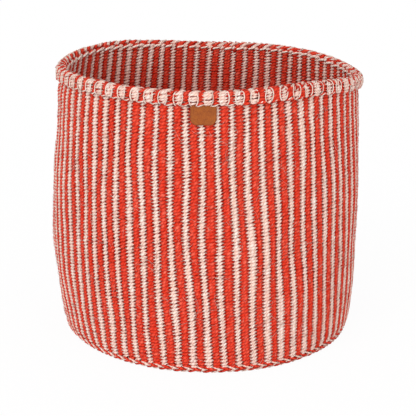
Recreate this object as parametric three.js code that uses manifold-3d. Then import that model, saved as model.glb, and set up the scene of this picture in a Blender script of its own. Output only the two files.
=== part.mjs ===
// A round storage basket, twined by hand from red and natural sisal. Its top is turned outwards and down
// as a cuff, an edge braid runs round its foot, and a small leather tag hangs from under the cuff.
//
// Millimetres. The origin is the middle of the foot on the floor, +Z is up, and the tag's side, which is
// the front, faces -Y. A turn is an angle about Z, counted from the front towards +X.

import * as THREE from 'three';
import * as BufferGeometryUtils from 'three/addons/utils/BufferGeometryUtils.js';
import Module from 'manifold-3d';

const wasm = await Module();
wasm.setup();

// The whole basket
const basketHeight = 315; // floor to the crest of the rim, at the front
const rimRadius = 172; // outer face of the wall at the rim
const footRadius = 176.3; // outer face of the wall at the floor, before it turns in
const bellySwell = 8.5; // how much further the wall stands out at half height
const bellySag = 3; // the belly sits low: it swells more than that below half height and less above
const footTuck = 5.7; // how far the wall turns in to meet the floor
const footTuckHeight = 18; // over this height
const wallThickness = 7; // two wefts with an upright warp between them
const floorThickness = 6;
const stripePairs = 68; // one cream and one red stripe each, counted round the wall
const stripeTurn = THREE.MathUtils.degToRad(-3); // where the cream stripe above the tag meets the rim

// A soft basket never stands quite true: its rim sits off centre and rises and falls round the turn
const rimLean = 4.3; // the rim's middle lies this far to +X of the foot's
const axisBow = -2.6; // and at half height the axis bows this far to +X of a straight line
const footOval = 5; // the foot is drawn out to the front and the back
const footSkew = 2.4; // and a little towards the front right and the back left
const footEgg = 2.4; // and more so at the front
const rimDrop = 5; // the right side of the rim hangs lower, the left side higher
const rimTwist = 2.4; // two waves to a turn
const rimSaddle = 1.4; // two more, highest at the front and the back
const rimRipple = 1.2; // three waves to a turn
const rimDip = 2.3; // four waves, lowest at the front, the back and the sides

// Foot
const knotRadius = 14; // crossed warps where the weaving starts
const knotCrown = 1.6; // how far the knot stands above the floor inside
const knotTopRadius = 8; // its crown is nearly level inside this radius
const cornerFillet = 5; // the weave is thicker where the wall turns up from the floor
const braidStrandHeight = 3.4;
const braidDepth = 4.6;
const braidProud = 0.8; // how far the edge braid stands out of the wall's foot

// Rim
const crestHeight = 6; // slanted stitches along the very top
const crestOverhang = 0.8; // they stand proud of the wall's inner face
const cuffHeight = 16; // crest to the cuff's lower edge
const cuffThickness = 4;
const cuffCrown = 1; // the cuff's top stays this far below the crest
const cuffEdgeInset = 1.2; // its edges are rounded off this deep
const cuffEdgeRise = 2.4; // and this high
const padBulge = 1.1; // cream pads stand out between narrow red recesses
const recessShare = 0.4; // part of the stripe pitch that a recess takes
const warpBundleHeight = 4.4;
const warpBundleWidth = 3.2;
const hemThreadDiameter = 1.4;

// Leather tag
const tagX = -2.8; // its middle, a little to the left of the basket's
const tagWidth = 28;
const tagVisibleLength = 21.5; // from the cuff's lower edge to the free end
const tagThickness = 1.6;
const tagCornerRadius = 5.5;
const tagBendDrop = 3.5; // the bend lies this far below the cuff's lower edge
const tabTuck = 8; // length hidden under the cuff
const stitchDiameter = 1.4;
const stitchSpacing = 16;

// Fit
const clearance = 0.3; // between neighbours that touch on the real basket

const crestBottom = basketHeight - crestHeight;
const cuffBottom = basketHeight - cuffHeight;
const wallBottom = floorThickness + clearance;
const wallTop = crestBottom - clearance;
const braidStep = braidStrandHeight + clearance; // from one row of the edge braid to the next
const braidTop = braidStep + braidStrandHeight;

const wallLevels = 6; // straight stretches that stand for the wall's curve from foot to rim
const cuffStepsPerPair = 3;
const crestSteps = 6;

const redSisal = new THREE.MeshStandardMaterial({ color: 0xd8371f, roughness: 0.85, metalness: 0 });
const creamSisal = new THREE.MeshStandardMaterial({ color: 0xe6d3c0, roughness: 0.85, metalness: 0 });
const mixedSisal = new THREE.MeshStandardMaterial({ color: 0xde8a72, roughness: 0.85, metalness: 0 });
const tanLeather = new THREE.MeshStandardMaterial({ color: 0xb5652f, roughness: 0.55, metalness: 0 });

const basket = new THREE.Group();

function wallOuterRadius(height) {
  const rise = height / basketHeight;
  const swell = 4 * rise * (1 - rise) * (bellySwell + bellySag * (1 - 2 * rise));
  const tuck = footTuck * Math.max(0, 1 - height / footTuckHeight) ** 2;
  return THREE.MathUtils.lerp(footRadius, rimRadius, rise) + swell - tuck;
}

function wallInnerRadius(height) {
  return wallOuterRadius(height) - wallThickness;
}

function axisOffset(height) {
  const rise = height / basketHeight;
  return rimLean * rise + axisBow * 4 * rise * (1 - rise);
}

function braidOuterRadius(bottom) {
  return wallOuterRadius(bottom + braidStrandHeight / 2) + braidProud;
}

// Moves a point of the true round basket to where the soft one has it. The foot stays flat on the floor.
function settle(point) {
  const rise = point.z / basketHeight;
  const turn = Math.atan2(point.x, -point.y);
  const wave = -rimDrop * Math.sin(turn) + rimTwist * Math.sin(2 * turn) + rimSaddle * Math.cos(2 * turn)
    + rimRipple * Math.sin(3 * turn) - rimDip * Math.cos(4 * turn);
  const plan = footOval * Math.cos(2 * turn) + footSkew * Math.sin(2 * turn) + footEgg * Math.cos(3 * turn);
  const spread = 1 + plan * (1 - rise) ** 2 / footRadius;
  point.x = point.x * spread + axisOffset(point.z);
  point.y *= spread;
  point.z += wave * rise * rise;
  return point;
}

function movePoints(geometry, move) {
  const position = geometry.attributes.position;
  const point = new THREE.Vector3();
  for (let i = 0; i < position.count; i += 1) {
    move(point.fromBufferAttribute(position, i));
    position.setXYZ(i, point.x, point.y, point.z);
  }
  return geometry;
}

// Joins shared corners and leaves out triangles that have no area, so that the mesh is one closed body.
function closeUp(geometry) {
  geometry.deleteAttribute('normal');
  geometry.deleteAttribute('uv');
  const merged = BufferGeometryUtils.mergeVertices(geometry);
  const corners = merged.index.array;
  const kept = [];
  for (let i = 0; i < corners.length; i += 3) {
    const [a, b, c] = [corners[i], corners[i + 1], corners[i + 2]];
    if (a !== b && b !== c && c !== a) {
      kept.push(a, b, c);
    }
  }
  merged.setIndex(kept);
  return merged;
}

function toSolid(geometry) {
  const closed = closeUp(geometry);
  return new wasm.Manifold(new wasm.Mesh({
    numProp: 3,
    vertProperties: new Float32Array(closed.attributes.position.array),
    triVerts: new Uint32Array(closed.index.array),
  }));
}

function toGeometry(solid) {
  const mesh = solid.getMesh();
  const geometry = new THREE.BufferGeometry();
  geometry.setAttribute('position', new THREE.BufferAttribute(mesh.vertProperties, 3));
  geometry.setIndex(new THREE.BufferAttribute(mesh.triVerts, 1));
  return geometry;
}

function addPiece(name, geometry, material, parent = basket) {
  geometry.computeVertexNormals();
  const mesh = new THREE.Mesh(geometry, material);
  mesh.name = name;
  parent.add(mesh);
}

// Turns a profile of [radius, height] points round Z. The points run upwards on the outer side.
function turned(profile, segments) {
  const points = profile.map(([radius, height]) => new THREE.Vector2(radius, height));
  return new THREE.LatheGeometry(points, segments, stripeTurn).rotateX(Math.PI / 2);
}

function ring(profile) {
  return closeUp(movePoints(turned([...profile, profile[0]], stripePairs), settle));
}

function disc(profile) {
  return closeUp(movePoints(turned(profile, stripePairs), settle));
}

// Floor

function addFloor() {
  addPiece('base_start_knot', disc([
    [0, 0],
    [knotRadius, 0],
    [knotRadius, floorThickness],
    [knotTopRadius, floorThickness + knotCrown],
    [0, floorThickness + knotCrown],
  ]), creamSisal);

  const outer = braidOuterRadius(0) - braidDepth - clearance;
  addPiece('base_weave', ring([
    [knotRadius + clearance, 0],
    [outer, 0],
    [outer, floorThickness],
    [knotRadius + clearance, floorThickness],
  ]), creamSisal);
}

// The two rows of the edge braid lie on each other round the foot and cover the seam of floor and wall
function addFootBraid() {
  const rows = [
    ['base_braid_lower', 0, redSisal],
    ['base_braid_upper', braidStep, creamSisal],
  ];
  for (const [name, bottom, material] of rows) {
    const outer = braidOuterRadius(bottom);
    const inner = outer - braidDepth;
    const rounding = braidStrandHeight / 4;
    addPiece(name, ring([
      [inner, bottom],
      [outer - rounding, bottom],
      [outer, bottom + rounding],
      [outer, bottom + braidStrandHeight - rounding],
      [outer - rounding, bottom + braidStrandHeight],
      [inner, bottom + braidStrandHeight],
    ]), material);
  }
}

// Wall

function addWall() {
  const rebateTop = braidTop + clearance;
  const rebateRadius = braidOuterRadius(braidStep) - braidDepth - clearance;
  const grooveBottom = wallTop - warpBundleHeight - clearance;
  const grooveDepth = warpBundleWidth + 2 * clearance;
  const profile = [[rebateRadius, wallBottom], [rebateRadius, rebateTop]];
  for (let level = 0; level <= wallLevels; level += 1) {
    const height = THREE.MathUtils.lerp(rebateTop, grooveBottom, level / wallLevels);
    profile.push([wallOuterRadius(height), height]);
  }
  profile.push([wallOuterRadius(grooveBottom) - grooveDepth, grooveBottom]);
  profile.push([wallOuterRadius(wallTop) - grooveDepth, wallTop]);
  for (let level = wallLevels; level >= 0; level -= 1) {
    const height = THREE.MathUtils.lerp(wallBottom + cornerFillet, wallTop, level / wallLevels);
    profile.push([wallInnerRadius(height), height]);
  }
  const filletMiddle = cornerFillet * (1 - Math.SQRT1_2);
  profile.push([wallInnerRadius(wallBottom) - filletMiddle, wallBottom + filletMiddle]);
  profile.push([wallInnerRadius(wallBottom) - cornerFillet, wallBottom]);
  addPiece('wall_weave', ring(profile), mixedSisal);
}

// Rim

// The warps' ends are turned over and lie as a bundle in a groove between the wall and the cuff
function addWarpBundle() {
  const top = wallTop;
  const bottom = top - warpBundleHeight;
  const outerAt = (height) => wallOuterRadius(height) - clearance;
  addPiece('turned_warp_ends', ring([
    [outerAt(bottom) - warpBundleWidth, bottom],
    [outerAt(bottom), bottom],
    [outerAt(top), top],
    [outerAt(top) - warpBundleWidth, top],
  ]), creamSisal);
}

// The crest is half an ellipse on the wall's top, with its flat side down
function addCrest() {
  const inner = wallInnerRadius(crestBottom) - crestOverhang;
  const outer = wallOuterRadius(basketHeight) - clearance;
  const middle = (inner + outer) / 2;
  const profile = [];
  for (let step = 0; step <= crestSteps; step += 1) {
    const angle = Math.PI * step / crestSteps;
    profile.push([middle + (outer - middle) * Math.cos(angle), crestBottom + crestHeight * Math.sin(angle)]);
  }
  addPiece('rim_edge_braid', ring(profile), redSisal);
}

// Every third column of the cuff lies in a recess above a cream stripe; the two between carry a pad
function raisePads(point) {
  const pitch = 2 * Math.PI / stripePairs;
  const turn = Math.atan2(point.x, -point.y);
  const radius = Math.hypot(point.x, point.y);
  const column = Math.round((turn - stripeTurn) / pitch * cuffStepsPerPair);
  const pair = Math.floor(column / cuffStepsPerPair);
  const step = column - pair * cuffStepsPerPair;
  const share = [0, recessShare / 2, 1 - recessShare / 2][step];
  const isOuterFace = radius > wallOuterRadius(point.z) + cuffThickness / 2;
  const raised = radius + (isOuterFace && step > 0 ? padBulge : 0);
  const placed = stripeTurn + (pair + share) * pitch;
  point.x = raised * Math.sin(placed);
  point.y = -raised * Math.cos(placed);
  return point;
}

function addCuff(tagPocket) {
  const top = basketHeight - cuffCrown;
  const inner = (height) => wallOuterRadius(height) + clearance;
  const profile = [
    [inner(cuffBottom), cuffBottom],
    [inner(cuffBottom) + cuffThickness - cuffEdgeInset, cuffBottom],
    [inner(cuffBottom) + cuffThickness, cuffBottom + cuffEdgeRise],
    [inner(top) + cuffThickness, top - 2 * cuffEdgeRise],
    [inner(top) + cuffThickness - cuffEdgeInset, top - cuffEdgeRise / 2],
    [inner(top) + cuffEdgeInset, top],
    [inner(top), top - cuffEdgeRise / 2],
  ];
  const cuff = turned([...profile, profile[0]], stripePairs * cuffStepsPerPair);
  movePoints(cuff, raisePads);
  movePoints(cuff, settle);
  addPiece('cuff_weave', toGeometry(toSolid(cuff).subtract(tagPocket)), mixedSisal);
}

// The thread runs under the cuff's lower edge and passes outside the tag
function addHemThread() {
  const tagCornerX = Math.abs(tagX - axisOffset(cuffBottom)) + tagWidth / 2;
  const tagFaceRadius = Math.hypot(wallOuterRadius(cuffBottom) + clearance + tagThickness, tagCornerX);
  const half = hemThreadDiameter / 2;
  const radius = tagFaceRadius + 2 * clearance + half;
  const height = cuffBottom - clearance - half;
  addPiece('hem_thread', ring([
    [radius, height - half],
    [radius + half, height],
    [radius, height + half],
    [radius - half, height],
  ]), creamSisal);
}

// Tag

// The tag lies along the wall's slope. Its frame has the bend as the X axis and -Z towards the free end.
function makeTagFrame() {
  const wallFront = (height) => settle(new THREE.Vector3(0, -wallOuterRadius(height), height)).y;
  const height = cuffBottom - tagBendDrop;
  const step = 1;
  const slope = Math.atan2(wallFront(height + step) - wallFront(height - step), 2 * step);
  const standoff = clearance + tagThickness / 2;
  const frame = new THREE.Group();
  frame.position.set(
    tagX,
    wallFront(height) - standoff * Math.cos(slope),
    height + standoff * Math.sin(slope),
  );
  frame.rotation.x = -slope;
  frame.updateMatrix();
  return frame;
}

function plate(width, bottom, top, thickness) {
  return new THREE.BoxGeometry(width, thickness, top - bottom).translate(0, 0, (bottom + top) / 2);
}

// The cuff is hollowed for the tab, from the tab's outer face back past the cuff's inner face
function makeTagPocket(tagFrame) {
  const pocketBottom = -tagBendDrop;
  const pocketTop = tagBendDrop + tabTuck + clearance;
  const depth = tagThickness + 4 * clearance;
  const pocket = plate(tagWidth + 2 * clearance, pocketBottom, pocketTop, depth);
  pocket.translate(0, clearance, 0);
  return toSolid(pocket.applyMatrix4(tagFrame.matrix));
}

function stitchGeometry(side, diameter, length) {
  const middle = tagBendDrop + tabTuck / 2;
  return new THREE.CylinderGeometry(diameter / 2, diameter / 2, length, 12)
    .translate(side * stitchSpacing / 2, 0, middle);
}

function addTag(tagFrame) {
  const bendRadius = tagThickness / 2;
  const bend = new THREE.CylinderGeometry(bendRadius, bendRadius, tagWidth, 16).rotateZ(Math.PI / 2);

  const half = tagWidth / 2;
  const end = -(tagVisibleLength - tagBendDrop);
  const outline = new THREE.Shape();
  outline.moveTo(-half, 0);
  outline.lineTo(-half, end + tagCornerRadius);
  outline.absarc(-half + tagCornerRadius, end + tagCornerRadius, tagCornerRadius, Math.PI, 1.5 * Math.PI);
  outline.absarc(half - tagCornerRadius, end + tagCornerRadius, tagCornerRadius, 1.5 * Math.PI, 2 * Math.PI);
  outline.lineTo(half, 0);
  outline.closePath();
  const sheet = { depth: tagThickness, bevelEnabled: false, curveSegments: 8 };
  const leaf = new THREE.ExtrudeGeometry(outline, sheet)
    .rotateX(Math.PI / 2)
    .translate(0, tagThickness / 2, 0);
  addPiece('tag_flap', toGeometry(toSolid(leaf).add(toSolid(bend))), tanLeather, tagFrame);

  let tab = toSolid(plate(tagWidth, tagThickness / 2 + clearance, tagBendDrop + tabTuck, tagThickness));
  for (const [name, side] of [['tag_stitch_left', -1], ['tag_stitch_right', 1]]) {
    tab = tab.subtract(toSolid(stitchGeometry(side, stitchDiameter + 2 * clearance, tagThickness * 2)));
    addPiece(name, stitchGeometry(side, stitchDiameter, tagThickness), creamSisal, tagFrame);
  }
  addPiece('tag_tab', toGeometry(tab), tanLeather, tagFrame);
  basket.add(tagFrame);
}

const tagFrame = makeTagFrame();
addFloor();
addFootBraid();
addWall();
addWarpBundle();
addCrest();
addCuff(makeTagPocket(tagFrame));
addHemThread();
addTag(tagFrame);

export default basket;
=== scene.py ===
# A round storage basket, twined by hand from red and natural sisal and drawn here strand by strand.
#
# Metres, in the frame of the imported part: the origin is the middle of the foot on the floor, +Z is up
# and the front, where the leather tag hangs, faces -Y. A turn is an angle about Z, counted from the
# front towards +X.
#
# In twining, a red and a cream weft pass round every upright warp together and swap places between two
# warps. A weft is therefore a flat helix about the middle of its round, and each visible stitch is one
# of its crests. The number of warps is even, so a column of stitches keeps its colour.

import math

import bpy
import numpy as np
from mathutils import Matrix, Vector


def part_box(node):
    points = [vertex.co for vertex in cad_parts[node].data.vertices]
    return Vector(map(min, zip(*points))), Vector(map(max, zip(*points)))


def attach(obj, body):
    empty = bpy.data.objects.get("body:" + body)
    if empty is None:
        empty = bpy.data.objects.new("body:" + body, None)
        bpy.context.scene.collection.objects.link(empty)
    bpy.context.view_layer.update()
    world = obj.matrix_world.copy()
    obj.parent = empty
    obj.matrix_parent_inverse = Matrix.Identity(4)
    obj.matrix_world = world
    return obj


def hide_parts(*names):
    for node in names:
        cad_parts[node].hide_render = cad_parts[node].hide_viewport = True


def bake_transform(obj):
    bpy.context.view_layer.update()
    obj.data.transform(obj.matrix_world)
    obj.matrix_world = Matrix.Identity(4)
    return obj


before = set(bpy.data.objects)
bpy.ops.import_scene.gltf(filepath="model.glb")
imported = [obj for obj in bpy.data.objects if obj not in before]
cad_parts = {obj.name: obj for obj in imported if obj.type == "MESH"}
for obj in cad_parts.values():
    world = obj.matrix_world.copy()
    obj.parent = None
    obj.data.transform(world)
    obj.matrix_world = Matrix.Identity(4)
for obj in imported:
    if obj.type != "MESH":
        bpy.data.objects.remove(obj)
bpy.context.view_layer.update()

chance = np.random.default_rng(20)

# The basket's shape, as its solids have it
basket_height = 0.315
rim_radius = 0.172
foot_radius = 0.1763
belly_swell = 0.0085
belly_sag = 0.003
foot_tuck = 0.0057
foot_tuck_height = 0.018
wall_thickness = 0.007
rim_lean = 0.0043
axis_bow = -0.0026
foot_oval = 0.005
foot_skew = 0.0024
foot_egg = 0.0024
rim_drop = 0.005
rim_twist = 0.0024
rim_saddle = 0.0014
rim_ripple = 0.0012
rim_dip = 0.0023

# The heights between which the soft wall dents and wanders, and over what distance that grows to its full
dents_bottom = 0.009
dents_bottom_fade = 0.03
dents_top = 0.275
dents_top_fade = 0.04

# Pushes at the wall's left and right ends, as the photo's outline shows them: how far out, the height of
# the middle, and the reach up and down. The turns are their reach round the wall.
left_pushes = ((0.0018, 0.284, 0.013), (-0.0018, 0.232, 0.026), (0.0018, 0.100, 0.036))
left_push_turn = 0.5
right_pushes = ((-0.0015, 0.110, 0.050),)
right_push_turn = 0.6

# Stripes
stripe_pairs = 68
columns = 2 * stripe_pairs
column_turn = 2 * math.pi / columns
stripe_turn = math.radians(-3)
foot_twist = math.radians(4.2)

# Wefts and warps
round_pitch = 0.00369
weft_swing = 0.00215
weft_slant = 0.00115
weft_half_thickness = 0.00130
weft_half_height = 0.0028
weft_pinched_height = 0.0009
foot_narrowing = -0.13
narrowing_rise = 0.12
ply_turn_length = 0.010
weft_sides = 6
stitch_steps = 6
rounds_per_piece = 20
warp_half_width = 0.0026
warp_half_depth = 0.0011
warp_wander = 0.0003

# How far a weft's colour goes over to its nook colour, which is painted shade: along a stitch's edges,
# more so inside the basket, and on the inner face, where shade falls except close to the rim.
# hole_share is how many of the places beside the rim's stitches get a painted dark spot, the shade of a
# gap.
seam_shade = 0.58
inner_seam_gain = 0.2
lint_shade = 0.38
least_lint = 0.02
lint_fade = 0.08
hole_share = 0.6

# How the two wefts lie. Red is the fuller and blunter one, so it covers more of both faces, and cream
# stitches end in points. start is the place on the helix at column 0, sink says how soon a stitch dives
# in, peak and pinch how high it is at its middle and at its ends, taper how soon it narrows towards them,
# edgewise how much thicker it is there, and nook and seam how dark the painted shade on its ends and
# edges is.
weft_forms = {
    "red": {"start": math.pi, "sink": 0.7, "peak": 1.0, "pinch": 1.75, "taper": 0.8, "edgewise": 1.2,
            "nook_shade": 0.7, "seam": 1.3},
    "cream": {"start": 0.0, "sink": 0.75, "peak": 0.97, "pinch": 0.35, "taper": 1.8, "edgewise": 1.45,
              "nook_shade": 0.0, "seam": 0.7},
}

# Rim
fold_height = 0.3083
cuff_gap = 0.0003
cuff_thickness = 0.003
cuff_bottom = 0.299
binding_radius = 0.00068
binding_share = 0.88
rim_stitch_radius = 0.0012
hem_radius = 0.0007

# Foot
braid_height = 0.0071
braid_proud = 0.0008
braid_half_depth = 0.0024
floor_middle = 0.0031
floor_start = 0.0135
floor_edge = 0.1708
floor_weft_half_height = 0.0031
floor_warp_half_width = 0.0013
floor_warp_half_depth = 0.0008
knot_reach = 0.0125
knot_spacing = 0.0034
knot_half_width = 0.00155
knot_half_depth = 0.00105

# Where each ring of the floor ends, and how many of the wall's columns one of its columns leads to
floor_rings = ((0.048, 4), (0.094, 2), (floor_edge, 1))

# Leather tag, between the ends of its solids
tag_thickness = 0.0016
tag_corner = 0.0075
tab_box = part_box("tag_tab")
flap_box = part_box("tag_flap")
tag_width = flap_box[1].x - flap_box[0].x
tag_middle = (flap_box[1].x + flap_box[0].x) / 2
tag_top = tab_box[1].z
tag_bottom = flap_box[0].z
tag_top_y = tab_box[1].y - tag_thickness / 2
tag_bottom_y = flap_box[0].y + tag_thickness / 2

# Studio. The camera stands at the photograph's distance and height and has its angle of view.
camera_place = (0.0020, -1.603, 0.5828)
camera_dip = 15.49
camera_lens = 119.96
world_strength = 0.76
floor_colour = (0.92, 0.92, 0.92, 1.0)
floor_white_share = 0.94
white = (1.0, 1.0, 1.0, 1.0)

straight_up = np.array([0.0, 0.0, 1.0])


def wall_outer_radius(height):
    rise = height / basket_height
    swell = 4 * rise * (1 - rise) * (belly_swell + belly_sag * (1 - 2 * rise))
    tuck = foot_tuck * np.maximum(0, 1 - height / foot_tuck_height) ** 2
    return foot_radius + (rim_radius - foot_radius) * rise + swell - tuck


def ripples(size, count, times_round, steepest):
    """A sum of soft waves over the wall, for its dents or for the wandering of its columns."""
    waves = [(int(chance.integers(*times_round)), chance.uniform(-steepest, steepest),
              chance.uniform(0, 2 * math.pi))
             for _ in range(count)]

    def height_of(turn, height):
        total = sum(np.cos(times * turn + slope * height + start) for times, slope, start in waves)
        return size * total * math.sqrt(2 / count)

    return height_of


def near(value, middle, reach):
    """One where the value is in the middle, falling smoothly to zero beyond its reach."""
    return np.exp(-((value - middle) / reach) ** 2)


def pushes(turn, height):
    """How far the soft wall stands out or in at its left and right ends."""
    left = sum(size * near(height, middle, reach) for size, middle, reach in left_pushes)
    right = sum(size * near(height, middle, reach) for size, middle, reach in right_pushes)
    return (left * near(turn, -math.pi / 2, left_push_turn)
            + right * near(turn, math.pi / 2, right_push_turn))


dents = ripples(size=0.0005, count=14, times_round=(4, 17), steepest=80)
wander = ripples(size=0.0006, count=12, times_round=(5, 20), steepest=55)


def settle(points):
    """Moves points of the true round basket to where the soft one has them."""
    height = points[..., 2]
    rise = height / basket_height
    turn = np.arctan2(points[..., 0], -points[..., 1])
    radius = np.hypot(points[..., 0], points[..., 1])
    free = (np.clip((dents_top - height) / dents_top_fade, 0, 1)
            * np.clip((height - dents_bottom) / dents_bottom_fade, 0, 1))
    turn = turn + free * wander(turn, height) / foot_radius
    radius = radius + free * dents(turn, height) + pushes(turn, height)
    wave = (-rim_drop * np.sin(turn) + rim_twist * np.sin(2 * turn) + rim_saddle * np.cos(2 * turn)
            + rim_ripple * np.sin(3 * turn) - rim_dip * np.cos(4 * turn))
    plan = foot_oval * np.cos(2 * turn) + foot_skew * np.sin(2 * turn) + foot_egg * np.cos(3 * turn)
    spread = 1 + plan * (1 - rise) ** 2 / foot_radius
    moved = points.copy()
    moved[..., 0] = radius * np.sin(turn) * spread + rim_lean * rise + axis_bow * 4 * rise * (1 - rise)
    moved[..., 1] = -radius * np.cos(turn) * spread
    moved[..., 2] = np.maximum(height + wave * rise * rise, 0)
    return moved


def around(turn, radius, height):
    return np.stack(np.broadcast_arrays(radius * np.sin(turn), -radius * np.cos(turn), height), axis=-1)


def ease(share):
    return share * share * (3 - 2 * share)


def smooth_noise(rows, length, row_reach, length_reach):
    """Random values that change slowly along both axes, with a spread of one and no seam."""
    waves = np.fft.fft2(chance.normal(size=(rows, length)))
    down = np.fft.fftfreq(rows)[:, None] * row_reach
    along = np.fft.fftfreq(length)[None, :] * length_reach
    field = np.fft.ifft2(waves * np.exp(-2 * math.pi**2 * (down**2 + along**2))).real
    return field / field.std()


# Meshes


def make_mesh(name, points, faces, strand_uv, bake_uv, material):
    """A smooth mesh from its points, its faces as rows of four corners, and two UV maps."""
    mesh = bpy.data.meshes.new(name)
    mesh.vertices.add(len(points))
    mesh.vertices.foreach_set("co", points.astype(np.float32).ravel())
    corners = faces.ravel()
    mesh.loops.add(len(corners))
    mesh.loops.foreach_set("vertex_index", corners.astype(np.int32))
    mesh.polygons.add(len(faces))
    mesh.polygons.foreach_set("loop_start", np.arange(0, len(corners), 4, dtype=np.int32))
    mesh.polygons.foreach_set("use_smooth", np.ones(len(faces), bool))
    for layer_name, uv in (("strand", strand_uv), ("OFBake", bake_uv)):
        layer = mesh.uv_layers.new(name=layer_name)
        layer.uv.foreach_set("vector", uv.astype(np.float32).ravel())
    mesh.update(calc_edges=True)
    mesh.materials.append(material)
    piece = bpy.data.objects.new(name, mesh)
    bpy.context.scene.collection.objects.link(piece)
    return piece


def set_values(piece, name, values):
    """One number for each point of a piece, for its material to read."""
    layer = piece.data.attributes.new(name, "FLOAT", "POINT")
    layer.data.foreach_set("value", values.astype(np.float32).ravel())


def quad_corners(left, right, bottom, top):
    """The UVs of upright quads, in the order of their corners."""
    left, right, bottom, top = np.broadcast_arrays(left, right, bottom, top)
    return np.stack([np.stack([left, bottom], -1), np.stack([right, bottom], -1),
                     np.stack([right, top], -1), np.stack([left, top], -1)], axis=-2)


def tubes(name, rings, material, endless=False, strips_per_tube=1, round_share=None):
    """Tubes from an array of tube, ring, corner and coordinate, with closed ends or none.

    Seen along its tube, a ring's corners run clockwise. Each tube starts elsewhere in its material's
    pattern, and is cut into strips that lie side by side in the map for baking.
    """
    pattern_step = 0.37
    edge = 0.06
    cap_room = 0.0 if endless else 0.02
    count, length, sides = rings.shape[:3]
    tube = np.arange(count)[:, None, None]
    step = np.arange(length if endless else length - 1)[None, :, None]
    side = np.arange(sides)[None, None, :]
    next_step = (step + 1) % length
    next_side = (side + 1) % sides
    if round_share is None:
        round_share = np.arange(sides + 1) / sides

    def corner(at_step, at_side):
        return (tube * length + at_step) * sides + at_side

    faces = np.stack(np.broadcast_arrays(corner(step, side), corner(next_step, side),
                                         corner(next_step, next_side), corner(step, next_side)), axis=-1)
    middle = rings.mean(axis=2)
    reach = np.linalg.norm(np.roll(middle, -1, axis=1) - middle, axis=-1)[:, :step.size]
    last = tube * pattern_step + np.cumsum(reach, axis=1)[..., None]
    first = last - reach[..., None]
    strand_uv = quad_corners(first, last, round_share[side], round_share[side + 1])

    strip_steps = math.ceil(step.size / strips_per_tube)
    strips = count * strips_per_tube
    strip = tube * strips_per_tube + step // strip_steps
    left = cap_room + (1 - 2 * cap_room) * (step % strip_steps) / strip_steps
    right = left + (1 - 2 * cap_room) / strip_steps
    bottom = (strip + edge + (1 - 2 * edge) * side / sides) / strips
    top = bottom + (1 - 2 * edge) / sides / strips
    bake_uv = quad_corners(left, right, bottom, top)

    faces = faces.reshape(-1, 4)
    strand_uv = strand_uv.reshape(-1, 4, 2)
    bake_uv = bake_uv.reshape(-1, 4, 2)
    if not endless:
        pair = np.arange(sides // 2 - 1)
        near = np.stack([pair, pair + 1, sides - 2 - pair, sides - 1 - pair], axis=-1)
        start = (tube * length * sides + near).reshape(-1, 4)
        stop = (tube * length * sides + (length - 1) * sides + near)[..., ::-1].reshape(-1, 4)
        low = (tube[..., 0] * strips_per_tube + edge + (1 - 2 * edge) * pair / pair.size).ravel() / strips
        high = low + (1 - 2 * edge) / pair.size / strips
        start_uv = quad_corners(0.0, 0.8 * cap_room, low, high)
        stop_uv = quad_corners(1 - 0.8 * cap_room, 1.0, low, high)
        faces = np.concatenate([faces, start, stop])
        strand_uv = np.concatenate([strand_uv, start_uv, stop_uv])
        bake_uv = np.concatenate([bake_uv, start_uv, stop_uv])
    return make_mesh(name, rings.reshape(-1, 3), faces, strand_uv, bake_uv, material)


def lay_rings(paths, outward, half_width, half_depth, sides, endless=False):
    """Rings round paths of tube, ring and coordinate. half_depth is measured along outward."""
    if endless:
        along = np.roll(paths, -1, axis=1) - np.roll(paths, 1, axis=1)
    else:
        along = np.gradient(paths, axis=1)
    along /= np.linalg.norm(along, axis=-1, keepdims=True)
    across = np.cross(along, outward)
    across /= np.linalg.norm(across, axis=-1, keepdims=True)
    proud = np.cross(across, along)
    angle = 2 * math.pi * (np.arange(sides) + 0.5) / sides
    half_width = np.broadcast_to(half_width, paths.shape[:2])[..., None, None]
    half_depth = np.broadcast_to(half_depth, paths.shape[:2])[..., None, None]
    return (paths[:, :, None] + half_width * across[:, :, None] * np.cos(angle)[:, None]
            + half_depth * proud[:, :, None] * np.sin(angle)[:, None])


def rounded_ends(length):
    """The share of its full thickness that a cord has along its rings."""
    share = np.ones(length)
    share[[0, -1]] = 0.45
    share[[1, -2]] = 0.85
    return share


def dress(piece, slot_name, *nodes):
    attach(piece, "basket")
    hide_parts(*nodes)


# Materials


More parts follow.
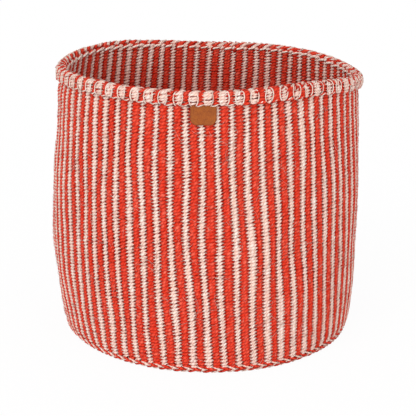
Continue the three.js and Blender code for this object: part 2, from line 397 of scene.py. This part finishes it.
class Nodes:
    """A short way to write a material's nodes."""

    def __init__(self, name):
        self.material = bpy.data.materials.new(name)
        self.material.use_nodes = True
        self.tree = self.material.node_tree
        self.shader = self.tree.nodes["Principled BSDF"]

    def node(self, kind, **settings):
        made = self.tree.nodes.new("ShaderNode" + kind)
        for key, value in settings.items():
            setattr(made, key, value)
        return made

    def put(self, source, socket):
        if isinstance(source, (int, float, tuple)):
            socket.default_value = source
        else:
            self.tree.links.new(source, socket)

    def math(self, operation, a, b=0.0):
        made = self.node("Math", operation=operation)
        for source, socket in zip((a, b), made.inputs):
            self.put(source, socket)
        return made.outputs[0]

    def mix(self, share, a, b):
        made = self.node("Mix", data_type="RGBA")
        self.put(share, made.inputs[0])
        self.put(a, made.inputs[6])
        self.put(b, made.inputs[7])
        return made.outputs[2]

    def vector(self, x, y, z=0.0):
        made = self.node("CombineXYZ")
        for source, socket in zip((x, y, z), made.inputs):
            self.put(source, socket)
        return made.outputs[0]

    def noise(self, place, scale, detail=2.0, roughness=0.5):
        made = self.node("TexNoise")
        self.put(place, made.inputs["Vector"])
        made.inputs["Scale"].default_value = scale
        made.inputs["Detail"].default_value = detail
        made.inputs["Roughness"].default_value = roughness
        return made.outputs["Fac"]

    def ramp(self, value, low, high):
        made = self.node("MapRange", clamp=True)
        self.put(value, made.inputs["Value"])
        made.inputs["From Min"].default_value = low
        made.inputs["From Max"].default_value = high
        return made.outputs["Result"]

    def strand(self):
        """Length along the strand in metres, and share of the way round it."""
        split = self.node("SeparateXYZ")
        self.put(self.node("UVMap", uv_map="strand").outputs["UV"], split.inputs[0])
        return split.outputs[0], split.outputs[1]

    def finish(self, colour, roughness, height, bump_distance, specular=0.3):
        self.put(colour, self.shader.inputs["Base Color"])
        self.put(roughness, self.shader.inputs["Roughness"])
        self.shader.inputs["Specular IOR Level"].default_value = specular
        bump = self.node("Bump")
        bump.inputs["Strength"].default_value = 1.0
        bump.inputs["Distance"].default_value = bump_distance
        self.put(height, bump.inputs["Height"])
        self.put(bump.outputs["Normal"], self.shader.inputs["Normal"])
        return self.material


def linear(hex_colour):
    """A colour written as on screen, turned into the linear numbers that nodes take."""
    channels = [int(hex_colour[i:i + 2], 16) / 255 for i in (0, 2, 4)]
    turned = [c / 12.92 if c <= 0.04045 else ((c + 0.055) / 1.055) ** 2.4 for c in channels]
    return (*turned, 1.0)


def sisal(name, plain, pale, dark_fibre_and_groove_shade, tint, nook_shade=None):
    """Two-ply twisted sisal: a groove winds between the plies, painted with shade, and fine fibres,
    some darker, run along them.

    The attribute of painted shade grows where a strand dives in between its neighbours, along its edges,
    and on the inner face of the basket, where shade falls.
    """
    plain, pale, dark_fibre_and_groove_shade, tint = map(linear, (plain, pale, dark_fibre_and_groove_shade, tint))
    nodes = Nodes(name)
    along, round_share = nodes.strand()
    plies = nodes.math("SUBTRACT", nodes.math("MULTIPLY", round_share, 2.0),
                       nodes.math("MULTIPLY", along, 2.0 / ply_turn_length))
    ply = nodes.math("ABSOLUTE", nodes.math("SINE", nodes.math("MULTIPLY", plies, math.pi)))
    fibre_place = nodes.vector(nodes.math("MULTIPLY", along, 220.0),
                               nodes.math("ADD", nodes.math("MULTIPLY", round_share, 26.0),
                                          nodes.math("MULTIPLY", along, -900.0)))
    fibre = nodes.noise(fibre_place, 1.0, detail=3.0, roughness=0.6)
    stitch = nodes.noise(nodes.vector(nodes.math("MULTIPLY", along, 140.0), 0.0), 1.0, detail=1.0)
    place = nodes.node("TexCoord").outputs["Object"]
    patch = nodes.noise(place, 38.0, detail=3.0)

    # Painted shade in the groove between the plies
    shade = nodes.ramp(ply, 0.0, 0.75)
    colour = nodes.mix(shade, dark_fibre_and_groove_shade, plain)
    colour = nodes.mix(nodes.math("MULTIPLY", nodes.ramp(fibre, 0.48, 0.72), 0.85), colour, pale)
    colour = nodes.mix(nodes.math("MULTIPLY", nodes.ramp(fibre, 0.5, 0.28), 0.8), colour, dark_fibre_and_groove_shade)
    colour = nodes.mix(nodes.math("MULTIPLY", nodes.ramp(stitch, 0.4, 0.7), 0.75), colour, tint)
    colour = nodes.mix(nodes.math("MULTIPLY", nodes.ramp(stitch, 0.48, 0.25), 0.5), colour, pale)
    colour = nodes.mix(nodes.math("MULTIPLY", nodes.ramp(patch, 0.45, 0.75), 0.4), colour, tint)
    if nook_shade:
        # Painted shade: the nook colour, mixed in as far as the attribute says
        depth = nodes.node("Attribute", attribute_name="nook_shade").outputs["Fac"]
        colour = nodes.mix(depth, colour, linear(nook_shade))
    roughness = nodes.math("ADD", nodes.math("MULTIPLY", fibre, 0.25), 0.62)
    height = nodes.math("ADD", nodes.math("MULTIPLY", nodes.math("POWER", ply, 0.7), 0.75),
                        nodes.math("MULTIPLY", fibre, 0.35))
    return nodes.finish(colour, roughness, height, 0.0007, specular=0.05)


def saddle_leather(name):
    """Smooth tanned leather: cloudy colour, fine pores, and edges burnished dark."""
    nodes = Nodes(name)
    along, round_share = nodes.strand()
    place = nodes.vector(along, nodes.math("MULTIPLY", round_share, 2 * tag_width))
    cloud = nodes.noise(place, 160.0, detail=3.0)
    pull = nodes.noise(place, 700.0, detail=4.0, roughness=0.65)
    pores = nodes.node("TexVoronoi", feature="DISTANCE_TO_EDGE")
    nodes.put(place, pores.inputs["Vector"])
    pores.inputs["Scale"].default_value = 3200.0
    crease = nodes.ramp(pores.outputs["Distance"], 0.0, 0.12)
    border = nodes.node("Attribute", attribute_name="border").outputs["Fac"]
    brown = linear("803B0C")
    tan = linear("964C10")
    pale = linear("B4691E")
    pore = linear("7F3F1C")
    burnished = linear("6E3517")
    colour = nodes.mix(nodes.ramp(cloud, 0.3, 0.7), brown, tan)
    colour = nodes.mix(nodes.math("MULTIPLY", nodes.ramp(pull, 0.45, 0.75), 0.6), colour, pale)
    colour = nodes.mix(nodes.math("MULTIPLY", nodes.ramp(crease, 1.0, 0.0), 0.2), colour, pore)
    colour = nodes.mix(nodes.math("MULTIPLY", border, 0.7), colour, burnished)
    roughness = nodes.math("ADD", nodes.math("MULTIPLY", pull, 0.25), 0.42)
    height = nodes.math("ADD", crease, nodes.math("MULTIPLY", pull, 0.6))
    return nodes.finish(colour, roughness, height, 0.00004, specular=0.25)


def waxed_thread(name):
    """The round stitches of the tag, with their twist running round them and painted shade in its
    grooves.
    """
    nodes = Nodes(name)
    place = nodes.node("TexCoord").outputs["Object"]
    wave = nodes.node("TexWave", wave_type="BANDS", bands_direction="DIAGONAL")
    nodes.put(place, wave.inputs["Vector"])
    wave.inputs["Scale"].default_value = 450.0
    fuzz = nodes.noise(place, 3000.0, detail=3.0)
    colour = nodes.mix(wave.outputs["Fac"], linear("C9B199"), linear("EADBCB"))
    roughness = nodes.math("ADD", nodes.math("MULTIPLY", fuzz, 0.2), 0.5)
    height = nodes.math("ADD", wave.outputs["Fac"], nodes.math("MULTIPLY", fuzz, 0.4))
    return nodes.finish(colour, roughness, height, 0.0001)


# The nook colours are painted shade, a deep red as shade among red wefts looks
red_sisal = sisal("red_sisal", plain="EE452C", pale="FF8C74", dark_fibre_and_groove_shade="A2140C", tint="D42A12", nook_shade="8C0800")
cream_sisal = sisal("cream_sisal", plain="F3E4DA", pale="FAF2EC", dark_fibre_and_groove_shade="B4947D", tint="EAC2B0",
                    nook_shade="C0341C")
# The warps are dark red as painted shade, for where they show in the gaps between the wefts
warp_sisal_painted_shade = sisal("warp_sisal_painted_shade", plain="980F04", pale="BC2C18", dark_fibre_and_groove_shade="640400", tint="840A02")
stray_sisal = sisal("stray_sisal", plain="EFC9BD", pale="FAE6DC", dark_fibre_and_groove_shade="D79C8C", tint="E7A99C")
tag_leather = saddle_leather("tag_leather")
tag_thread = waxed_thread("tag_thread")
weft_materials = {"red": red_sisal, "cream": cream_sisal}


# Weaving


class Rounds:
    """Rounds of twining, each with its place on the weave's middle surface.

    facing is the direction of the weave's outer face in the plane of radius and height: 0 points away
    from the axis and a quarter turn points up. The other values are one number for all rounds or one
    for each.
    """

    def __init__(self, radius, height, facing, **values):
        self.count = len(radius)
        self.radius = np.asarray(radius, float)[:, None]
        self.height = np.asarray(height, float)[:, None]
        self.facing = np.asarray(facing, float)[:, None]
        self.values = {
            "swing": weft_swing,
            "slant": weft_slant,
            "half_thickness": weft_half_thickness,
            "outer_half_height": weft_half_height,
            "inner_half_height": weft_half_height,
            "pinched_height": weft_pinched_height,
            "narrowing": 0.0,
            "bulge": 0.0,
            "curl": 0.0,
            "seam": seam_shade,
            "shear": 0.0,
            "face_turn": 0.0,
            "holes": 0.0,
            "lint": lint_shade,
            **values,
        }

    def __getattr__(self, name):
        value = np.asarray(self.values[name], float)
        return value * np.ones((self.count, 1)) if value.ndim == 0 else value[:, None]


def twine(rounds, round_columns=columns, unrest=1.0):
    """The red and the cream weft of each round, as rings of a tube and how much painted shade each point
    has.

    unrest scales every irregularity.
    """
    count = rounds.count
    steps = stitch_steps
    length = round_columns * steps
    column = np.arange(length)[None, :] / steps
    share = ease(np.arange(steps) / steps)

    def per_stitch(values):
        """Spreads one value for each stitch smoothly over the points between the stitches."""
        after = np.roll(values, -1, axis=1)
        return (values[:, :, None] * (1 - share) + after[:, :, None] * share).reshape(count, length)

    def slow(spread, row_reach=6.0, column_reach=2.5):
        return per_stitch(smooth_noise(count, round_columns, row_reach, column_reach)) * spread * unrest

    def single(spread):
        return per_stitch(chance.normal(size=(count, round_columns))) * spread * unrest

    pitch = 2 * math.pi / round_columns
    rise = np.clip(rounds.height / basket_height, 0, 1)
    twist = foot_twist * (1 - rise)
    sideways = (slow(0.0007, row_reach=9.0, column_reach=1.4) + single(0.00022)) / rounds.radius
    turn = stripe_turn + twist + column * pitch + sideways
    lift = slow(0.0004, row_reach=2.2, column_reach=5.0) + single(0.0002)
    depth = slow(0.0002) + single(0.00016)
    fullness = 1 + single(0.09)
    slant_share = 1 + slow(0.2, row_reach=4.0, column_reach=2.0) + single(0.15)
    narrowing = rounds.narrowing + slow(0.15, row_reach=9.0, column_reach=1.2) + single(0.12)
    across = math.pi * column + narrowing * np.sin(math.pi * column)
    pad = 0.5 - 0.5 * np.cos(across)
    angle = 2 * math.pi * np.arange(weft_sides) / weft_sides
    facing = rounds.facing[..., None]
    # Painted shade on the wefts' inner face, fading out close to the rim
    lint = rounds.lint * np.clip((fold_height - rounds.height) / lint_fade, 0, 1)
    inner_face_shade = (least_lint + lint)[..., None] * np.maximum(0, -np.cos(angle))

    strands = {}
    for colour, form in weft_forms.items():
        phase = across + form["start"]
        openness = np.abs(np.cos(phase))
        crest = np.sign(np.cos(phase)) * openness ** form["sink"]
        peak = np.where(crest > 0, rounds.outer_half_height, rounds.inner_half_height) * form["peak"]
        pinched = rounds.pinched_height * form["pinch"]
        half_height = (pinched + (peak - pinched) * openness ** form["taper"]) * fullness
        half_thickness = rounds.half_thickness * (1 + form["edgewise"] * (1 - openness))
        outward = rounds.swing * crest + depth - rounds.bulge * np.sqrt(pad)
        upward = rounds.slant * slant_share * np.arcsin(np.sin(phase)) * 2 / math.pi + lift

        outward = outward[..., None] + half_thickness[..., None] * np.cos(angle)
        upward = upward[..., None] + half_height[..., None] * np.sin(angle)
        outward = outward + rounds.curl[..., None] * upward**2
        place = (turn + rounds.face_turn)[..., None] + (rounds.shear / rounds.radius)[..., None] * upward
        radius = rounds.radius[..., None] + outward * np.cos(facing) - upward * np.sin(facing)
        height = rounds.height[..., None] + outward * np.sin(facing) + upward * np.cos(facing)

        inside = (crest < 0) * (rounds.facing > -0.5)
        seam = form["seam"] * rounds.seam * (1 + inner_seam_gain * inside)
        beside = np.isin(np.arange(length) % steps, (1, steps - 1))
        # Painted dark spots beside some of the rim's stitches, the shade of gaps
        holes = rounds.holes * (beside & (chance.random((count, length)) < hole_share))
        # Painted shade: at a stitch's diving ends, along its edges, on the inner face and at the painted
        # gaps
        nook_shade = form["nook_shade"] * (1 - openness[..., None]) ** 4 + seam[..., None] * np.sin(angle) ** 2
        nook_shade = nook_shade + inner_face_shade + holes[..., None] * (np.abs(np.sin(angle)) > 0.8)
        strands[colour] = (settle(around(place, radius, height)), nook_shade)
    return strands


def add_wefts(name, strands, slot_name, nodes):
    """Makes pieces of a colour and a band of rounds each."""
    for colour, (rings, nook_shade) in strands.items():
        bands = math.ceil(rings.shape[0] * rings.shape[1] / (rounds_per_piece * columns * stitch_steps))
        for number, band in enumerate(np.array_split(np.arange(len(rings)), bands), 1):
            suffix = f"_{number}" if bands > 1 else ""
            piece = tubes(f"{colour}_weft_{name}{suffix}", rings[band], weft_materials[colour],
                          endless=True, strips_per_tube=2)
            set_values(piece, "nook_shade", nook_shade[band])
            dress(piece, slot_name, *nodes)


def add_wall():
    lowest = braid_height + 0.5 * round_pitch
    count = round((fold_height - lowest) / round_pitch) + 1
    height = np.linspace(lowest, fold_height - 0.3 * round_pitch, count)
    radius = wall_outer_radius(height) - wall_thickness / 2
    narrowing = foot_narrowing + narrowing_rise * height / fold_height
    rounds = Rounds(radius, height, -np.arctan(np.gradient(radius, height)), narrowing=narrowing)
    add_wefts("wall", twine(rounds), "striped_weave", ["wall_weave"])


def fold_point(turned, outward=0.0):
    """Radius and height of the weave's middle where it has turned by so much over the top of the wall."""
    wall_middle = wall_outer_radius(fold_height) - wall_thickness / 2
    cuff_middle = wall_outer_radius(fold_height) + cuff_gap + cuff_thickness / 2
    fold_radius = (cuff_middle - wall_middle) / 2
    radius = (cuff_middle + wall_middle) / 2 - (fold_radius - outward) * np.cos(turned)
    return radius, fold_height + (fold_radius - outward) * np.sin(turned)


def add_rim():
    """The weave goes on over the top, where its stitches spread out, and down again as the cuff.

    Its outer face is now the wall's inner one, so the cuff's columns have the other colour. The cream
    ones stand out as pads, and the red ones lie back between them.
    """
    fold_turns = np.radians([64, 134, 166])
    fold_radius, fold_rise = fold_point(fold_turns)
    cuff_height = cuff_bottom + np.array([0.0073, 0.0043, 0.0014])
    cuff_radius = wall_outer_radius(cuff_height) + cuff_gap + cuff_thickness / 2
    rounds = Rounds(
        np.concatenate([fold_radius, cuff_radius]),
        np.concatenate([fold_rise, cuff_height]),
        -np.concatenate([fold_turns, np.full(3, math.pi)]),
        swing=[0.0019, 0.0014, 0.0012, 0.0012, 0.0012, 0.0012],
        half_thickness=[0.0014, 0.0011, 0.00105, 0.00105, 0.00105, 0.00105],
        inner_half_height=[0.0052, 0.0027, 0.0023, 0.0022, 0.0022, 0.0021],
        outer_half_height=0.0015,
        pinched_height=[0.0014, 0.0008, 0.0007, 0.0007, 0.0007, 0.0007],
        slant=[0.0030, 0.0018, 0.0011, 0.0011, 0.0010, 0.0009],
        narrowing=[-0.05, 0.2, 0.4, 0.45, 0.38, -0.05],
        bulge=[0.0, 0.0006, 0.0013, 0.0017, 0.0015, 0.0008],
        curl=[120.0, 0.0, 0.0, 0.0, 0.0, 0.0],
        shear=[-0.65, -0.4, 0.0, 0.0, 0.0, 0.0],
        holes=[0.0, 0.15, 0.3, 0.3, 0.3, 0.2],
        seam=[0.6, 0.45, 0.4, 0.4, 0.4, 0.45],
    )
    strands = twine(rounds, unrest=1.9)
    crest = {colour: (rings[:2], nook_shade[:2]) for colour, (rings, nook_shade) in strands.items()}
    cuff = {colour: (rings[2:], nook_shade[2:]) for colour, (rings, nook_shade) in strands.items()}
    add_wefts("crest", crest, "red_sisal", ["rim_edge_braid", "turned_warp_ends"])
    add_wefts("cuff", cuff, "striped_weave", ["cuff_weave"])


def add_rim_stitches():
    """Inside, under the crest, a cream strand crosses each red stripe on the slant."""
    length = 12
    half_span = 0.62
    tucked_span = 0.24
    tuck_depth = 0.0026
    below_fold = 0.0012
    slant = 0.0021
    proud = 0.0003
    across = np.linspace(-half_span, half_span, length)[None, :]
    stripe = np.arange(0, columns, 2)[:, None]
    unevenness = smooth_noise(stripe_pairs, 2, 0.8, 0.1)
    turn = stripe_turn + (stripe + across) * column_turn
    height = fold_height - below_fold - slant * across + 0.0005 * unevenness[:, :1]
    tucked = tuck_depth * np.clip((np.abs(across) - half_span) / tucked_span + 1, 0, 1) ** 2
    paths = settle(around(turn, wall_outer_radius(height) - wall_thickness - proud + tucked, height))
    thickness = rim_stitch_radius * (1 + 0.12 * unevenness[:, 1:]) * rounded_ends(length)
    rings = lay_rings(paths, around(turn, -1.0, 0.0), thickness * 1.15, thickness * 0.8, sides=6)
    dress(tubes("rim_stitches", rings, cream_sisal), "cream_sisal", "rim_edge_braid")


def add_bindings():
    """Loose cream threads over the edges of the pads, from the crest down to the cuff's lower edge."""
    length = 16
    folded_share = 0.4
    first_tuck = 0.12
    last_tuck = 0.14
    tuck_depth = 0.0012
    least_reach = 0.0020
    bow_reach = 0.0025
    least_proud = 0.0026
    bow_proud = 0.0007
    below_cuff = 0.0004
    share = np.linspace(0, 1, length)[None, :]
    pads = np.tile(np.arange(1, columns, 2), 2)
    side = np.repeat([-1.0, 1.0], stripe_pairs)
    kept = chance.random(len(pads)) < binding_share
    pads = pads[kept, None]
    side = side[kept, None]
    count = len(pads)

    def each(spread):
        return chance.normal(size=(count, 1)) * spread

    bow = np.sin(math.pi * np.clip(share * 1.15 - 0.1, 0, 1)) ** 0.6
    reach = least_reach + bow_reach * bow + each(0.0003)
    tilt = each(0.0006) * (share - 0.5)
    turn = stripe_turn + pads * column_turn + (side * reach + tilt) / rim_radius
    start_turned = np.radians(100) + each(0.12)
    turned = start_turned + (math.pi - start_turned) * np.clip(share / folded_share, 0, 1)
    fallen = np.clip((share - folded_share) / (1 - folded_share), 0, 1)
    drop = (fold_height - cuff_bottom + below_cuff + each(0.0003)) * fallen
    proud = least_proud + bow_proud * bow + each(0.00015)
    radius, height = fold_point(turned, -proud)
    radius = radius + wall_outer_radius(height - drop) - wall_outer_radius(height)
    tucked = np.clip(1 - share / first_tuck, 0, 1) + np.clip(1 - (1 - share) / last_tuck, 0, 1)
    paths = settle(around(turn, radius - tuck_depth * tucked, height - drop))
    level = around(turn, 1.0, 0.0)
    outward = level * -np.cos(turned)[..., None] + straight_up * np.sin(turned)[..., None]
    thickness = binding_radius * (1 + each(0.12)) * rounded_ends(length)
    rings = lay_rings(paths, outward, thickness, thickness * 0.9, sides=6)
    dress(tubes("cuff_binding_threads", rings, cream_sisal), "cream_sisal", "cuff_weave")


def add_hem():
    """The thread that sews the cuff down: over the red gaps, behind the cream pads."""
    steps = 10
    swing = 0.0017
    rise = 0.0011
    above_bottom = 0.0006
    pair = np.arange(stripe_pairs * steps)[None, :] / steps
    phase = 2 * math.pi * pair
    turn = stripe_turn + 2 * pair * column_turn
    height = cuff_bottom + above_bottom + rise * np.sin(phase)
    radius = wall_outer_radius(height) + cuff_gap + swing * (1 + np.cos(phase))
    paths = settle(around(turn, radius, height))
    rings = lay_rings(paths, around(turn, 1.0, 0.0), hem_radius, hem_radius, sides=6, endless=True)
    dress(tubes("hem_sewing_thread", rings, cream_sisal, endless=True), "cream_sisal", "hem_thread")


def add_warps():
    """The upright cords: up through the wall, over the fold and down inside the cuff, in painted shade.
    """
    wall_height = np.linspace(0.006, fold_height, 46)
    fold_radius, fold_rise = fold_point(np.radians(np.linspace(20, 160, 6)))
    cuff_height = np.linspace(fold_height, cuff_bottom + 0.0014, 3)
    height = np.concatenate([wall_height, fold_rise, cuff_height])
    radius = np.concatenate([wall_outer_radius(wall_height) - wall_thickness / 2, fold_radius,
                             wall_outer_radius(cuff_height) + cuff_gap + cuff_thickness / 2])
    twist = foot_twist * (1 - np.clip(height / basket_height, 0, 1))
    turn = stripe_turn + twist + np.arange(columns)[:, None] * column_turn
    turn = turn + smooth_noise(columns, len(height), 0.5, 5.0) * warp_wander / rim_radius
    paths = settle(around(turn, radius, height))
    outward = around(turn, np.gradient(height), -np.gradient(radius))
    narrowed = rounded_ends(len(height))
    rings = lay_rings(paths, outward, warp_half_width * narrowed, warp_half_depth * narrowed, sides=6)
    dress(tubes("wall_warps", rings, warp_sisal_painted_shade), "red_sisal", "wall_weave", "turned_warp_ends")


def add_floor():
    """The floor's columns divide twice on the way out, as warps are added."""
    inner = floor_start
    floor_warps = []
    for number, (outer, share) in enumerate(floor_rings, 1):
        count = round((outer - inner) / round_pitch)
        radius = np.linspace(inner, outer - round_pitch, count)
        ring_columns = columns // share
        # The floor's inner face gets less painted shade
        rounds = Rounds(radius, np.full(count, floor_middle), np.full(count, -math.pi / 2), swing=0.0017,
                        half_thickness=0.00112, outer_half_height=floor_weft_half_height,
                        inner_half_height=floor_weft_half_height, pinched_height=0.0013, lint=0.15)
        add_wefts(f"floor_{number}", twine(rounds, ring_columns, unrest=0.5), "floor_sisal",
                  ["base_weave", "base_start_knot"])
        first = 0 if number == 1 else 1
        step = 1 if number == 1 else 2
        warp = np.arange(first, ring_columns, step)[:, None] * share
        turn = stripe_turn + foot_twist + warp * column_turn
        reach = np.linspace(inner - 0.003, floor_edge - 0.0005, 24)[None, :]
        floor_warps.append(settle(around(turn, reach, floor_middle)))
        inner = outer
    paths = np.concatenate(floor_warps)
    ends = rounded_ends(paths.shape[1])
    rings = lay_rings(paths, straight_up, floor_warp_half_width * ends, floor_warp_half_depth * ends,
                      sides=6)
    dress(tubes("floor_warps", rings, warp_sisal_painted_shade), "red_sisal", "base_weave")


def add_knot():
    """Where the work starts: in the middle of the floor the first warps cross, over and under."""
    length = 41
    rise = 0.0009
    number = np.arange(-3, 4)[:, None]
    place = np.broadcast_to(number * knot_spacing, (len(number), length))
    along = np.sqrt(knot_reach**2 - place**2) * np.linspace(-1, 1, length)
    over = -rise * np.cos(math.pi * along / knot_spacing) * np.cos(math.pi * number)
    ends = rounded_ends(length)
    first = np.stack([along, place, floor_middle + over], axis=-1)
    second = np.stack([place, along, floor_middle - over], axis=-1)
    for name, paths, material in (("red", first, red_sisal), ("cream", second, cream_sisal)):
        rings = lay_rings(paths, straight_up, knot_half_width * ends, knot_half_depth * ends, sides=8)
        dress(tubes(f"{name}_knot_cords", rings, material), "floor_sisal", "base_start_knot")


def add_foot_braid():
    """Two rounds of opposite slant close the foot, so that their stitches meet as arrowheads."""
    for name, height, lean, slot_name in (("lower", 0.0021, 1, "red_sisal"),
                                          ("upper", 0.0056, -1, "cream_sisal")):
        radius = wall_outer_radius(height) + braid_proud - braid_half_depth
        rounds = Rounds([radius], [height], [0.0], slant=0.0019 * lean, shear=0.9 * lean, swing=0.0017,
                        half_thickness=0.0014, outer_half_height=0.0022, inner_half_height=0.0020,
                        pinched_height=0.0010, narrowing=-0.05, seam=0.55, face_turn=column_turn)
        add_wefts(f"foot_{name}", twine(rounds, unrest=0.7), slot_name, [f"base_braid_{name}"])


def add_stray_fibres(name, material, count, lengths, radii):
    """Single fibres that have come loose and lie across the stripes, with their ends in the weave."""
    length = 9
    lowest = 0.009
    highest = 0.2915
    least_lift = 0.0003
    most_bow = 0.0006
    tucked_share = 0.25
    tuck_depth = 0.0012
    share = np.linspace(-0.5, 0.5, length)[None, :]

    def each(low, high):
        return chance.uniform(low, high, size=(count, 1))

    reach = each(*lengths)
    heading = each(0, 2 * math.pi)
    direction = heading + each(-1.4, 1.4) * share
    sideways = np.cumsum(np.cos(direction), axis=1) * reach / length
    upward = np.cumsum(np.sin(direction), axis=1) * reach / length
    turn = each(-math.pi, math.pi) + sideways / rim_radius
    height = np.clip(each(0.010, 0.290) + upward, lowest, highest)
    lift = least_lift + each(0.0, most_bow) * np.abs(np.sin(2.5 * math.pi * share + heading))
    lift = lift - tuck_depth * np.clip((2 * np.abs(share) - 1) / tucked_share + 1, 0, 1)
    paths = settle(around(turn, wall_outer_radius(height) + lift, height))
    thickness = each(*radii) * rounded_ends(length)
    rings = lay_rings(paths, around(turn, 1.0, 0.0), thickness, thickness, sides=4)
    dress(tubes(name, rings, material), "cream_sisal", "wall_weave")


def add_tag():
    """A strip of leather whose upper end is sewn in under the cuff. Its lower part and its edges curl a
    little.
    """
    edge_rounding = 0.05
    edge_burnish = 0.1
    end_rounding = 0.0009
    end_burnish = 0.0016
    full_length = tag_top - tag_bottom
    straight = np.linspace(0, 1, 20)[:-1]
    corner_turn = np.radians([0, 15, 30, 45, 60, 72, 82, 90])
    drop = np.concatenate([straight * (full_length - tag_corner),
                           full_length - tag_corner * (1 - np.sin(corner_turn))])[:, None]
    half_width = np.concatenate([np.full(len(straight), tag_width / 2),
                                 tag_width / 2 - tag_corner * (1 - np.cos(corner_turn))])[:, None]
    right_half = np.array([0, 0.2, 0.4, 0.6, 0.75, 0.9, 0.95, 0.985, 1])
    across = np.concatenate([-right_half[:0:-1], right_half])
    from_edge = 1 - np.abs(across)
    from_end = full_length - drop
    rounding = np.clip(np.minimum(from_edge / edge_rounding, from_end / end_rounding), 0, 1)
    rise = 0.5 + 0.5 * np.sqrt(rounding)
    border = 1 - np.clip(np.minimum(from_edge / edge_burnish, from_end / end_burnish), 0, 1)
    share = drop / full_length
    curl = 0.0009 * np.clip(share - 0.35, 0, 1) ** 2 + 0.0005 * across**2 * share
    x = tag_middle + half_width * across
    middle = tag_top_y + (tag_bottom_y - tag_top_y) * share - curl
    z = np.broadcast_to(tag_top - drop, x.shape)
    front = np.stack([x, middle - rise * tag_thickness / 2, z], axis=-1)
    back = np.stack([x, middle + rise * tag_thickness / 2, z], axis=-1)
    rings = np.concatenate([front, back[:, ::-1]], axis=1)[None]
    round_share = (across + 1) / 4
    round_share = np.concatenate([round_share, 1 - round_share[::-1], [1.0]])
    tag = tubes("leather_tag", rings, tag_leather, round_share=round_share)
    set_values(tag, "border", np.concatenate([border, border[:, ::-1]], axis=1))
    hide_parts("tag_flap", "tag_tab")
    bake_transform(tag)
    for side in ("left", "right"):
        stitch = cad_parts[f"tag_stitch_{side}"]
        stitch.data.materials.clear()
        stitch.data.materials.append(tag_thread)


add_warps()
add_wall()
add_rim()
add_rim_stitches()
add_bindings()
add_hem()
add_floor()
add_knot()
add_foot_braid()
add_stray_fibres("stray_fibres", stray_sisal, 260, lengths=(0.012, 0.040), radii=(0.00010, 0.00020))
add_stray_fibres("cream_fuzz", cream_sisal, 1500, lengths=(0.003, 0.011), radii=(0.00008, 0.00015))
add_stray_fibres("red_fuzz", red_sisal, 900, lengths=(0.003, 0.011), radii=(0.00008, 0.00015))
add_tag()


# Studio


def light_path_seen(tree):
    """One for rays from the camera and for rays that mirror or pass through, otherwise zero."""
    path = tree.nodes.new("ShaderNodeLightPath")
    seen = path.outputs["Is Camera Ray"]
    for kind in ("Is Glossy Ray", "Is Transmission Ray"):
        either = tree.nodes.new("ShaderNodeMath")
        either.operation = "MAXIMUM"
        tree.links.new(seen, either.inputs[0])
        tree.links.new(path.outputs[kind], either.inputs[1])
        seen = either.outputs[0]
    return seen


def add_studio_floor():
    reach = 20.0
    corners = [(-reach, -reach, 0), (reach, -reach, 0), (reach, reach, 0), (-reach, reach, 0)]
    mesh = bpy.data.meshes.new("studio_floor")
    mesh.from_pydata(corners, [], [(0, 1, 2, 3)])
    floor = bpy.data.objects.new("studio_floor", mesh)
    bpy.context.scene.collection.objects.link(floor)
    material = bpy.data.materials.new("studio_floor")
    material.use_nodes = True
    tree = material.node_tree
    matt = tree.nodes["Principled BSDF"]
    matt.inputs["Base Color"].default_value = floor_colour
    matt.inputs["Roughness"].default_value = 1.0
    seen = tree.nodes.new("ShaderNodeEmission")
    mixer = tree.nodes.new("ShaderNodeMixShader")
    share = tree.nodes.new("ShaderNodeMath")
    share.operation = "MULTIPLY"
    share.inputs[1].default_value = floor_white_share
    tree.links.new(light_path_seen(tree), share.inputs[0])
    tree.links.new(share.outputs[0], mixer.inputs[0])
    tree.links.new(matt.outputs[0], mixer.inputs[1])
    tree.links.new(seen.outputs[0], mixer.inputs[2])
    tree.links.new(mixer.outputs[0], tree.nodes["Material Output"].inputs["Surface"])
    mesh.materials.append(material)


def add_world():
    world = bpy.data.worlds.new("studio")
    bpy.context.scene.world = world
    world.use_nodes = True
    tree = world.node_tree
    lit = tree.nodes["Background"]
    lit.inputs["Color"].default_value = white
    lit.inputs["Strength"].default_value = world_strength
    seen = tree.nodes.new("ShaderNodeBackground")
    seen.inputs["Color"].default_value = white
    seen.inputs["Strength"].default_value = 1.0
    mixer = tree.nodes.new("ShaderNodeMixShader")
    tree.links.new(light_path_seen(tree), mixer.inputs[0])
    tree.links.new(lit.outputs[0], mixer.inputs[1])
    tree.links.new(seen.outputs[0], mixer.inputs[2])
    tree.links.new(mixer.outputs[0], tree.nodes["World Output"].inputs["Surface"])


def add_lamp(name, turn, elevation, strength, softness):
    lamp = bpy.data.lights.new(name, "SUN")
    lamp.energy = strength
    lamp.angle = math.radians(softness)
    placed = bpy.data.objects.new(name, lamp)
    placed.rotation_euler = (math.radians(90 - elevation), 0, math.radians(turn))
    bpy.context.scene.collection.objects.link(placed)


def add_camera():
    camera = bpy.data.cameras.new("camera")
    camera.sensor_width = 36
    camera.lens = camera_lens
    camera.clip_end = 50
    placed = bpy.data.objects.new("camera", camera)
    placed.location = camera_place
    placed.rotation_euler = (math.radians(90 - camera_dip), 0, 0)
    bpy.context.scene.collection.objects.link(placed)
    bpy.context.scene.camera = placed


add_studio_floor()
add_world()
add_lamp("key", turn=-25, elevation=31, strength=1.6, softness=50)
add_lamp("fill", turn=35, elevation=12, strength=0.6, softness=30)
add_camera()
bpy.context.scene.view_settings.view_transform = "Standard"
